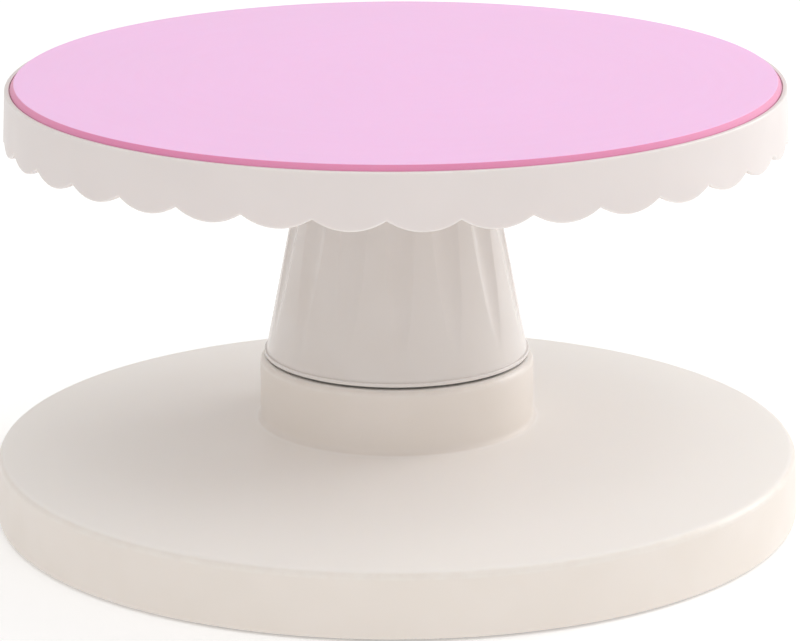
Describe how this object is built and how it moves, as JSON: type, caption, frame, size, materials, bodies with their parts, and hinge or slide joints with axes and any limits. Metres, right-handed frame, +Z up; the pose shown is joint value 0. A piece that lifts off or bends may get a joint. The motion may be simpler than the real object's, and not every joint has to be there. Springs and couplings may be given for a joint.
{
  "type": "cake turntable",
  "caption": "Raised cake turntable: matted round plate with a scalloped skirt on a fluted tapered column that spins in a collar on a wide domed base.",
  "frame": {"origin": "on the floor, under the middle of the base", "axes": "+Z up along the spindle, -Y towards the viewer, +X to the right"},
  "size_m": [0.292, 0.292, 0.1605],
  "materials": {
    "cream_plastic": "satin moulded cream plastic",
    "white_plastic": "glossy moulded warm white plastic",
    "plate_plastic": "semi-gloss moulded white plastic",
    "inner_plastic": "plain moulded inner plastic",
    "mat_silicone": "smooth matte pink silicone",
    "foot_rubber": "dark moulded rubber",
    "turned_steel": "fine turned steel",
    "ground_steel": "ground bearing steel",
    "spring_steel": "oiled spring steel",
    "ball_steel": "polished steel balls",
    "cage_brass": "stamped brass",
    "insert_brass": "knurled brass",
    "plated_screws": "zinc plated screws",
    "bush_acetal": "turned acetal"
  },
  "bodies": {
    "stand": {"base": "cream_plastic", "feet": "foot_rubber", "spindle": "turned_steel", "spindle_screws": "plated_screws", "lower_race": "ground_steel", "spring_washer": "spring_steel", "retaining_washer": "turned_steel", "circlip": "spring_steel"},
    "ball_ring": {"ball_cage": "cage_brass", "balls": "ball_steel"},
    "turning_top": {"upper_race": "ground_steel", "foot_plate": "inner_plastic", "foot_plate_screws": "plated_screws", "lower_bush": "bush_acetal", "upper_bush": "bush_acetal", "column": "white_plastic", "plate_inserts": "insert_brass", "plate": "plate_plastic", "plate_screws": "plated_screws", "mat": "mat_silicone"}
  },
  "joints": [
    {"name": "plate_spin", "type": "hinge", "parent": "stand", "child": "turning_top", "pos_m": [0, 0, 0.0586], "axis": [0, 0, 1], "continuous": true},
    {"name": "ball_ring_spin", "type": "hinge", "parent": "stand", "child": "ball_ring", "pos_m": [0, 0, 0.05525], "axis": [0, 0, 1], "continuous": true}
  ],
  "couplings": [
    {"joint": "ball_ring_spin", "follows": "plate_spin", "ratio": 0.5}
  ]
}
